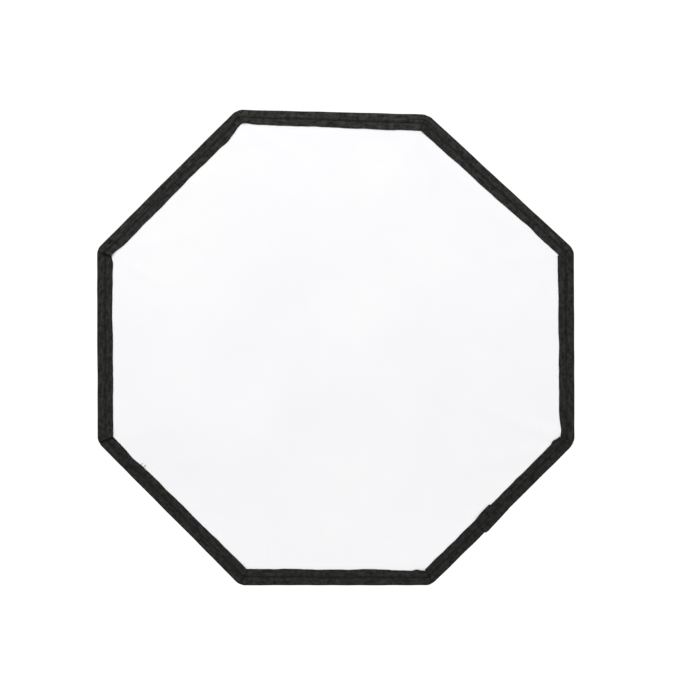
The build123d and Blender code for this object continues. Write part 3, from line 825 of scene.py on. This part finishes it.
# The border is sewn a little wider toward one end of most sides: 1 widens along it, -1 narrows
BORDER_MIDDLE = 0.020
BORDER_TAPER = 0.001
BORDER_WIDTHS = [(BORDER_MIDDLE - way * BORDER_TAPER, BORDER_MIDDLE, BORDER_MIDDLE + way * BORDER_TAPER)
                 for way in (1, 1, -1, 1, 0, 1, -1, 0)]

# Painted light on the border's tape, on each side from side 0: the top sides lighter and the lower sides
# darker, as light from above would make them
BORDER_PAINTED_LIGHT = (0.92, 1.12, 1.42, 1.14, 0.96, 0.82, 0.92, 0.78)

LAP_SIDE, LAP_START, LAP_END = 7, -0.031, -0.0036
LAP_LEAN = 0.0136
LAP_PROUD = 0.0015
LOOSE_THREAD_SIDE, LOOSE_THREAD_X = 5, -0.0686


def loose_thread(thread, border):
    """A frayed end of thread that curls off the border's inner edge."""
    base = border.place(LOOSE_THREAD_SIDE, LOOSE_THREAD_X, 0.9, border.front)
    inward, along = -radial(LOOSE_THREAD_SIDE * SIDE_TURN), tangent(LOOSE_THREAD_SIDE * SIDE_TURN)
    for reach, lean in ((0.0062, 0.9), (0.0046, -0.7)):
        centres = []
        for i in range(13):
            t = i / 12
            bend = along * (lean * 0.0032 * math.sin(t * 2.4))
            centres.append(base + inward * (reach * t) + bend + Vector((0, -0.0011 * math.sin(t * 3), 0)))
        thread.tube(centres, [0.00032 - 0.0001 * i / 12 for i in range(13)], 6, (0, 1, 0))


def octagonal_cloth(name, apothem, front, back, drift, height, material, rows=70, columns=26):
    """A closed thin sheet with its middle at the axis; height(x, z, to_edge) moves it to and fro."""
    points = []
    for y in (front, back):
        for i in range(1, rows + 1):
            share = (i / rows) ** 0.85
            for side in range(SIDES):
                for j in range(columns):
                    across = 2 * j / columns - 1
                    place = side_point(side, apothem * share, across, y, drift * share)
                    place.y += height(place.x, place.z, apothem * (1 - share))
                    points.append(place)
    ring = SIDES * columns
    faces = []
    for layer, turn in ((0, 1), (rows * ring, -1)):
        faces += [f[::turn] for f in grid_faces(rows, ring, wrap_columns=True, first=layer)]
        centre = len(points)
        points.append(Vector((0, (front, back)[layer > 0] + height(0, 0, apothem), 0)))
        faces += [(centre, layer + (j + 1) % ring, layer + j)[::turn] for j in range(ring)]
    outer = (rows - 1) * ring
    for j in range(ring):
        k = (j + 1) % ring
        faces.append((outer + j, outer + k, outer + k + rows * ring, outer + j + rows * ring))
    return new_mesh(name, points, faces, [material])


def front_height(x, z, to_edge):
    """Taut cloth: slow waves, and soft creases that run in from each corner."""
    wave = noise.noise(Vector((x * 7, z * 7, 3.0))) * 0.0009
    wave += noise.noise(Vector((x * 22, z * 22, 8.0))) * 0.0002
    for rib in range(1, SIDES + 1):
        out, along = radial(rib_azimuth(rib)), tangent(rib_azimuth(rib))
        corner = out * (APOTHEM / math.cos(SIDE_TURN / 2)) + corner_drift(rib)
        from_corner = Vector((x, 0, z)) - corner
        depth, sideways = -from_corner.dot(out), from_corner.dot(along)
        if depth > 0.002:
            slant = sideways / depth + 0.35 * wobble(rib, 4, 0.7)
            crease = math.exp(-((slant - 0.1) / 0.09) ** 2) + 0.7 * math.exp(-((slant + 0.55) / 0.13) ** 2)
            wave -= 0.0021 * crease * math.exp(-depth / 0.06) * (0.6 + 0.6 * wobble(rib, 7, 0.7))
    return min(0.0004, wave * smoothstep(0.017, 0.034, to_edge))


CLOTH_INSET = 0.0012
HOOK_TAPE_SIZES = (HOOK_HIGH.x, HOOK_HIGH.x - HOOK_TAPE_WIDTH, HOOK_LOW.y, HOOK_HIGH.y, 1.0)


def add_front():
    edge = APOTHEM - CLOTH_INSET
    cloth = octagonal_cloth("front_cloth", edge, CLOTH_LOW.y, CLOTH_HIGH.y, 1.0, front_height, WHITE_CLOTH)
    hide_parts("diffuser_cloth")
    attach(cloth, "front_diffuser")
    tape = FoldedTape(APOTHEM, BORDER_WIDTHS, (BORDER_LOW.y, BORDER_HIGH.y), (CLOTH_LOW.y, CLOTH_HIGH.y),
                      1.0, CORNER_RADII, CORNER_FOLDS, BORDER_BULGES, BORDER_PAINTED_LIGHT, 2)
    border = tape.build("border_tape", BORDER_TAPE)
    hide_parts("diffuser_border")
    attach(border, "front_diffuser")
    lap = tape.end_lap("border_end_lap", LAP_SIDE, LAP_START, LAP_END, BORDER_TAPE)
    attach(lap, "front_diffuser")
    thread = Trim()
    tape.middle_line(thread, pitch=0.0046, length=0.0033, radius=0.0004)
    loose_thread(thread, tape)
    stitches = thread.piece("border_stitches", BORDER_THREAD)
    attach(stitches, "front_diffuser")
    hooks = flat_ring("front_hook_tape", *HOOK_TAPE_SIZES, HOOK_TAPE)
    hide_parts("diffuser_hook_tape")
    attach(hooks, "front_diffuser")


def flat_ring(name, outside, inside, front, back, drift, material):
    """An octagonal ring with slightly rounded edges, cut from flat tape."""
    round_off = (back - front) * 0.3
    section = ((inside, front + round_off), (inside + round_off, front), (outside - round_off, front),
               (outside, front + round_off), (outside, back - round_off), (outside - round_off, back),
               (inside + round_off, back), (inside, back - round_off))
    points = []
    steps = 24
    for side in range(SIDES):
        for i in range(steps):
            points += [side_point(side, a, 2 * i / steps - 1, y, drift) for a, y in section]
    faces = grid_faces(SIDES * steps, len(section), wrap_rows=True, wrap_columns=True)
    return new_mesh(name, points, faces, [material])


# Inner baffle


def baffle_height(x, z, to_edge):
    wave = noise.noise(Vector((x * 9, z * 9, 21.0))) * 0.0022
    wave += noise.noise(Vector((x * 30, z * 30, 5.0))) * 0.0004
    return wave * smoothstep(0.010, 0.035, to_edge)


STRAP_NEAR = 0.158
STRAP_MIDDLE = (STRAP_LOW.y + STRAP_HIGH.y) / 2


def add_straps():
    """Eight elastic straps with box stitching, each with a moulded hook at its end."""
    points, faces, slots, uvs = [], [], [], []
    strap_front, strap_back = BAFFLE_LOW.y - 0.001, BAFFLE_LOW.y
    hook_out = STRAP_HIGH.x
    half = 0.005
    for rib in range(1, SIDES + 1):
        out, along = radial(rib_azimuth(rib)), tangent(rib_azimuth(rib))
        first = len(points)
        count = 20
        near, far = STRAP_NEAR, hook_out - 0.0065
        for i in range(count + 1):
            t = i / count
            pull = 1 - 0.16 * math.sin(math.pi * t)
            sag = 0.0006 * math.sin(math.pi * t)
            for w, y in ((-1, strap_back), (-1, strap_front),
                         (-0.9, strap_front - 0.0001), (0, strap_front - 0.0002),
                         (0.9, strap_front - 0.0001), (1, strap_front), (1, strap_back), (0, strap_back)):
                reach = out * (near + (far - near) * t)
                points.append(reach + along * (half * w * pull) + Vector((0, y - sag, 0)))
                uvs.append((w * half, t * (far - near)))
        strap_faces = grid_faces(count + 1, 8, wrap_columns=True, first=first)
        strap_faces.append(tuple(range(first + 7, first - 1, -1)))
        strap_faces.append(tuple(range(first + count * 8, first + count * 8 + 8)))
        faces += strap_faces
        slots += [0] * len(strap_faces)
        hook = Trim()
        level = Vector((0, STRAP_MIDDLE, 0))
        bar = [out * (hook_out - 0.0052) + along * (0.0066 * k / 5) + level for k in range(-5, 6)]
        hook.tube(bar, [0.0012 if abs(k) == 5 else 0.0018 for k in range(-5, 6)], 12, (0, 1, 0))
        for edge in (-1, 1):
            arm = [out * (hook_out - 0.0052 + 0.0044 * k / 6) + along * (0.0060 * edge * (1 - 0.55 * k / 6)) +
                   Vector((0, STRAP_MIDDLE + 0.0008 * math.sin(k / 2), 0)) for k in range(7)]
            hook.tube(arm, [0.0015] * 6 + [0.0011], 12, (0, 1, 0))
        nose = [out * (hook_out - 0.0006) + along * (0.0027 * k / 4) + level for k in range(-4, 5)]
        hook.tube(nose, [0.0008] + [0.0013] * 7 + [0.0008], 12, (0, 1, 0))
        base = len(points)
        points += hook.points
        uvs += [(0, 0)] * len(hook.points)
        faces += [tuple(base + k for k in f) for f in hook.faces]
        slots += [1] * len(hook.faces)
        box = Trim()
        corners = [out * (near + a) + along * b + Vector((0, strap_front - 0.0003, 0))
                   for a, b in ((0.0012, -0.0037), (0.0012, 0.0037), (0.0085, 0.0037), (0.0085, -0.0037))]
        for a, b in ((0, 1), (1, 2), (2, 3), (3, 0), (0, 2), (1, 3)):
            line = [corners[a].lerp(corners[b], k / 6) for k in range(7)]
            box.stitches(line, [Vector((0, -1, 0))] * 6, pitch=0.0021, length=0.0015, radius=0.0002)
        base = len(points)
        points += box.points
        uvs += [(0, 0)] * len(box.points)
        faces += [tuple(base + k for k in f) for f in box.faces]
        slots += [2] * len(box.faces)
    straps = new_mesh("elastic_straps", points, faces, [ELASTIC, PLASTIC, WHITE_THREAD], slots, uvs)
    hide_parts("baffle_straps")
    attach(straps, "inner_baffle")


def add_baffle():
    middle = (BAFFLE_LOW.y + BAFFLE_HIGH.y) / 2
    edge = BAFFLE_HIGH.x - 0.001
    front, back = middle - 0.0003, middle + 0.0003
    cloth = octagonal_cloth("inner_cloth", edge, front, back, 0.0, baffle_height, WHITE_CLOTH, 36, 16)
    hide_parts("baffle_cloth")
    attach(cloth, "inner_baffle")
    tape = FoldedTape(BAFFLE_HIGH.x, ((BINDING_WIDTH,) * 3,) * SIDES, (BAFFLE_LOW.y, BAFFLE_HIGH.y),
                      (front, back), 0.0, (0.006,) * SIDES, (0.4,) * SIDES, (), (1.0,) * SIDES, 30)
    binding = tape.build("inner_binding", BORDER_TAPE)
    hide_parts("baffle_binding")
    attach(binding, "inner_baffle")
    thread = Trim()
    tape.middle_line(thread, pitch=0.0042, length=0.003, radius=0.0003)
    stitches = thread.piece("inner_stitches", BORDER_THREAD)
    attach(stitches, "inner_baffle")
    add_straps()


# Neck skirt


SKIRT_COLUMNS = 288
SKIRT_THICKNESS = 0.0009
HEM_BEAD_R = 0.0013
EYELET_CUT_R = 0.0047
EYELET_IN_R, EYELET_OUT_R = 0.0037, 0.0068
CLAMP_AZIMUTHS = (math.radians(90), math.radians(225), math.radians(315))
CLAMP_Y = (KNOB_LOW.y + KNOB_HIGH.y) / 2


def octagon_r(apothem, azimuth, turned):
    """The radius of an octagon; turned, its flats face the ribs."""
    off = (azimuth - (SIDE_TURN / 2 if turned else 0)) % SIDE_TURN
    off = min(off, SIDE_TURN - off)
    return apothem / math.cos(off)


def skirt_profile():
    """(share, y, outward) rows: share 0 lies on the ring's outline and 1 on the skirt's wall."""
    hem = [("ring", 0.0004 + HEM_BEAD_R * (1 - math.cos(t)), HEM_BEAD_R * math.sin(t))
           for t in (-1.8, -0.8, 0.2, 1.2, 2.2, 3.0)]
    face = [("face", t, 0.0) for t in (0.12, 0.24, 0.36, 0.48, 0.6, 0.72, 0.82, 0.9, 0.95, 0.98)]
    wall = [("wall", t, 0.0) for t in (0.0, 0.02, 0.05, 0.09, 0.14, 0.2, 0.27, 0.34, 0.41, 0.48,
                                       0.55, 0.62, 0.7, 0.78, 0.86, 0.93, 1.0, 1.06)]
    return hem + face + wall


def skirt_point(row, column, inset):
    """A point of the skirt's outside, or of its inside where inset is its thickness."""
    kind, t, lift = row
    azimuth = math.tau * column / SKIRT_COLUMNS
    ring = octagon_r(RING_APOTHEM, azimuth, True) - 0.0005
    gather = noise.noise(Vector((math.cos(azimuth) * 22, math.sin(azimuth) * 22, 4.0)))
    fine = noise.noise(Vector((math.cos(azimuth) * 60, math.sin(azimuth) * 60, t * 3)))
    rear = SKIRT_HIGH.y
    wall_r = octagon_r(SKIRT_REAR_APOTHEM, azimuth, False)
    if kind == "ring":
        return radial(azimuth) * (ring + t) + Vector((0, rear - 0.0012 + lift - inset, 0))
    if kind == "face":
        r = ring + 0.003 + (wall_r - 0.0012 - ring - 0.003) * t
        puff = 0.0011 * math.sin(math.pi * t) + (0.0012 * gather + 0.0005 * fine) * (1 - t * 0.7)
        droop = 0.0016 * smoothstep(0.8, 1.0, t)
        return radial(azimuth) * r + Vector((0, rear + puff - droop - inset, 0))
    apothem = SKIRT_REAR_APOTHEM + (SKIRT_HIGH_APOTHEM - SKIRT_REAR_APOTHEM) * t
    y = rear - 0.0018 + (SKIRT_LOW.y + 0.0018 - rear) * t
    r = octagon_r(apothem, azimuth, False) - 0.0006 + 0.0005 * gather * (1 - abs(2 * t - 1)) + 0.0003 * fine
    r -= 0.0016 * math.exp(-t / 0.03)
    return radial(azimuth) * (r - inset) + Vector((0, y, 0))


def add_skirt():
    """The cloth cup round the ring: a corded hem, a gathered back, and a wall with metal eyelets."""
    profile = skirt_profile()
    count = len(profile)
    points = [skirt_point(row, j, 0.0) for row in profile for j in range(SKIRT_COLUMNS)]
    points += [skirt_point(row, j, SKIRT_THICKNESS) for row in profile for j in range(SKIRT_COLUMNS)]
    layer = count * SKIRT_COLUMNS
    holes = [(radial(a), Vector((0, CLAMP_Y, 0))) for a in CLAMP_AZIMUTHS]

    def cut(i, j):
        corners = [points[(i + a) * SKIRT_COLUMNS + (j + b) % SKIRT_COLUMNS] for a in (0, 1) for b in (0, 1)]
        middle = sum(corners, Vector()) / 4
        for out, level in holes:
            from_centre = (middle - level - out * middle.dot(out)).length
            if middle.dot(out) > RING_APOTHEM and from_centre < EYELET_CUT_R:
                return True
        return False

    kept = {(i, j) for i in range(count - 1) for j in range(SKIRT_COLUMNS) if not cut(i, j)}
    faces = []
    for i, j in sorted(kept):
        k = (j + 1) % SKIRT_COLUMNS
        here, ahead = i * SKIRT_COLUMNS, (i + 1) * SKIRT_COLUMNS
        quad = (here + j, here + k, ahead + k, ahead + j)
        faces += [quad, tuple(layer + n for n in reversed(quad))]
        around = (((i - 1, j), (quad[0], quad[1])), ((i, k), (quad[1], quad[2])),
                  ((i + 1, j), (quad[2], quad[3])), ((i, (j - 1) % SKIRT_COLUMNS), (quad[3], quad[0])))
        for neighbour, (a, b) in around:
            if neighbour not in kept:
                faces.append((b, a, layer + a, layer + b))
    uvs = []
    for _ in range(2):
        for i in range(count):
            uvs += [(j / SKIRT_COLUMNS * 0.66, i * 0.0016) for j in range(SKIRT_COLUMNS)]
    used = sorted({n for f in faces for n in f})
    place = {n: m for m, n in enumerate(used)}
    skirt = new_mesh("skirt", [points[n] for n in used], [tuple(place[n] for n in f) for f in faces],
                     [SKIRT_CLOTH], uvs=[uvs[n] for n in used])
    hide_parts("neck_skirt")
    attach(skirt, "speed_ring")
    thread = Trim()
    for row in (("face", 0.06, 0.0), ("wall", 0.8, 0.0)):
        line, normals = [], []
        for j in range(0, SKIRT_COLUMNS + 1, 2):
            azimuth = math.tau * j / SKIRT_COLUMNS
            normal = Vector((0, 1, 0)) if row[0] == "face" else radial(azimuth)
            line.append(skirt_point(row, j, 0.0) + normal * 0.0002)
            normals.append(normal)
        thread.stitches(line, normals, pitch=0.0045)
    stitches = thread.piece("skirt_stitches", SHELL_THREAD)
    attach(stitches, "speed_ring")
    area = 4 * HALF_TAN * (2 * SKIRT_REAR_APOTHEM ** 2 - 2 * RING_APOTHEM ** 2)
    depth = SKIRT_HIGH.y - SKIRT_LOW.y
    around = 2 * SIDES * SKIRT_HIGH_APOTHEM * HALF_TAN
    area += around * depth
    add_eyelets()


def add_eyelets():
    """Rolled metal eyelets, where the clamp screws pass through the skirt."""
    section = ((EYELET_IN_R, 0.0), (EYELET_IN_R + 0.0004, 0.0010), (EYELET_IN_R + 0.0012, 0.0014),
               (EYELET_OUT_R - 0.0008, 0.0011), (EYELET_OUT_R, 0.0004), (EYELET_OUT_R - 0.0003, 0.0001),
               (EYELET_OUT_R - 0.0006, -0.0012), (EYELET_OUT_R - 0.0010, -0.0016),
               (EYELET_IN_R + 0.0010, -0.0019),
               (EYELET_IN_R + 0.0003, -0.0013))
    points, faces = [], []
    steps = 40
    for azimuth in CLAMP_AZIMUTHS:
        out, along = radial(azimuth), tangent(azimuth)
        first = len(points)
        share = (SKIRT_HIGH.y - CLAMP_Y) / (SKIRT_HIGH.y - SKIRT_LOW.y)
        base = SKIRT_REAR_APOTHEM + (SKIRT_HIGH_APOTHEM - SKIRT_REAR_APOTHEM) * share - 0.0004
        for j in range(steps):
            turn = math.tau * j / steps
            aim = along * math.cos(turn) + Vector((0, math.sin(turn), 0))
            points += [out * (base + h) + Vector((0, CLAMP_Y, 0)) + aim * r for r, h in section]
        faces += grid_faces(steps, len(section), wrap_rows=True, wrap_columns=True, first=first)
    eyelets = new_mesh("skirt_eyelets", points, faces, [ZINC])
    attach(eyelets, "speed_ring")


# Carried-over CAD parts


def finish_nodes(material, *nodes):
    for node in nodes:
        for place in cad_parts[node].material_slots:
            place.material = material


def finish_cad():
    ribs = range(1, SIDES + 1)
    finish_nodes(ALUMINIUM, "bayonet_adapter")
    finish_nodes(POWDER_COAT, "speed_ring")
    finish_nodes(ZINC, "rib_brackets", "hinge_pins")
    finish_nodes(BLACK_STEEL, "bracket_screws", *[f"rib_{k}_rod" for k in ribs])
    finish_nodes(SPRING_STEEL, "detent_springs", *[f"clamp_screw_{k}" for k in (1, 2, 3)])
    finish_nodes(PLASTIC, *[f"rib_{k}_heel" for k in ribs], *[f"rib_{k}_tip" for k in ribs],
                 *[f"clamp_knob_{k}" for k in (1, 2, 3)])


# Stage


FLOOR_Z = -0.62
FLOOR_HALF = 60.0
FLOOR_WHITE_FROM, FLOOR_WHITE_TO = 0.35, 0.72
SKY_FRONT, SKY_REAR = 0.725, 1.06


def sky_strength(tree, direction):
    """The studio's brightness in a direction: dimmer in front of the object than behind it."""
    parts = shader_node(tree, "ShaderNodeSeparateXYZ")
    tree.links.new(direction, parts.inputs[0])
    glow = shader_node(tree, "ShaderNodeMapRange", interpolation_type="SMOOTHSTEP")
    glow.inputs["From Min"].default_value, glow.inputs["From Max"].default_value = 0.2, 0.7
    glow.inputs["To Min"].default_value, glow.inputs["To Max"].default_value = SKY_FRONT, SKY_REAR
    tree.links.new(parts.outputs[1], glow.inputs["Value"])
    return glow.outputs[0]


def add_stage():
    """A pale floor that brightens to white away from the object, under a soft white sky."""
    floor_material, tree, surface = new_material("floor", 0.75, specular=0.2)
    surface.inputs["Base Color"].default_value = (0.86, 0.86, 0.86, 1)
    place = shader_node(tree, "ShaderNodeVectorMath", operation="LENGTH")
    flat = shader_node(tree, "ShaderNodeVectorMath", operation="MULTIPLY")
    flat.inputs[1].default_value = (1, 1, 0)
    where = shader_node(tree, "ShaderNodeTexCoord")
    tree.links.new(where.outputs["Object"], flat.inputs[0])
    tree.links.new(flat.outputs[0], place.inputs[0])
    fade = shader_node(tree, "ShaderNodeMapRange", interpolation_type="SMOOTHSTEP")
    fade.inputs["From Min"].default_value = FLOOR_WHITE_FROM
    fade.inputs["From Max"].default_value = FLOOR_WHITE_TO
    tree.links.new(place.outputs["Value"], fade.inputs["Value"])
    aim = shader_node(tree, "ShaderNodeVectorMath", operation="NORMALIZE")
    tree.links.new(flat.outputs[0], aim.inputs[0])
    glow = shader_node(tree, "ShaderNodeEmission")
    tree.links.new(sky_strength(tree, aim.outputs[0]), glow.inputs["Strength"])
    mix = shader_node(tree, "ShaderNodeMixShader")
    tree.links.new(fade.outputs[0], mix.inputs["Fac"])
    tree.links.new(surface.outputs[0], mix.inputs[1])
    tree.links.new(glow.outputs[0], mix.inputs[2])
    tree.links.new(mix.outputs[0], tree.nodes["Material Output"].inputs["Surface"])
    corners = [(-FLOOR_HALF, -FLOOR_HALF, FLOOR_Z), (FLOOR_HALF, -FLOOR_HALF, FLOOR_Z),
               (FLOOR_HALF, FLOOR_HALF, FLOOR_Z), (-FLOOR_HALF, FLOOR_HALF, FLOOR_Z)]
    new_mesh("floor", corners, [(0, 1, 2, 3)], [floor_material])
    world = bpy.data.worlds.new("studio")
    world.use_nodes = True
    bpy.context.scene.world = world
    sky = world.node_tree
    strength = sky_strength(sky, shader_node(sky, "ShaderNodeTexCoord").outputs["Generated"])
    sky.links.new(strength, sky.nodes["Background"].inputs["Strength"])
    sky.nodes["Background"].inputs["Color"].default_value = (1, 1, 1, 1)


def add_light(name, place, aim, size, power):
    data = bpy.data.lights.new(name, "AREA")
    data.shape, data.size, data.energy = "SQUARE", size, power
    light = link(bpy.data.objects.new(name, data))
    light.location = place
    light.rotation_euler = (Vector(aim) - Vector(place)).to_track_quat("-Z", "Y").to_euler()


LENS = 100
SENSOR = 36
VIEW_WIDTH = 0.888
VIEW_CENTRE = (0.0184, -0.0025)


def add_camera():
    data = bpy.data.cameras.new("camera")
    data.lens, data.sensor_width = LENS, SENSOR
    camera = link(bpy.data.objects.new("camera", data))
    distance = VIEW_WIDTH * LENS / SENSOR
    camera.location = (VIEW_CENTRE[0], BORDER_LOW.y - distance, VIEW_CENTRE[1])
    camera.rotation_euler = (math.pi / 2, 0, 0)
    bpy.context.scene.camera = camera


add_camera()
add_stage()
add_light("key", (-0.5, -2.1, 3.0), (0, -0.2, 0), 1.4, 70)
add_light("side", (2.2, 0.4, 1.2), (0, -0.1, 0), 1.4, 22)
add_light("rear", (-0.8, 2.4, 1.4), (0, 0, 0), 1.4, 26)
bpy.context.scene.view_settings.view_transform = "Standard"
add_shell()
add_skirt()
add_baffle()
add_front()
finish_cad()
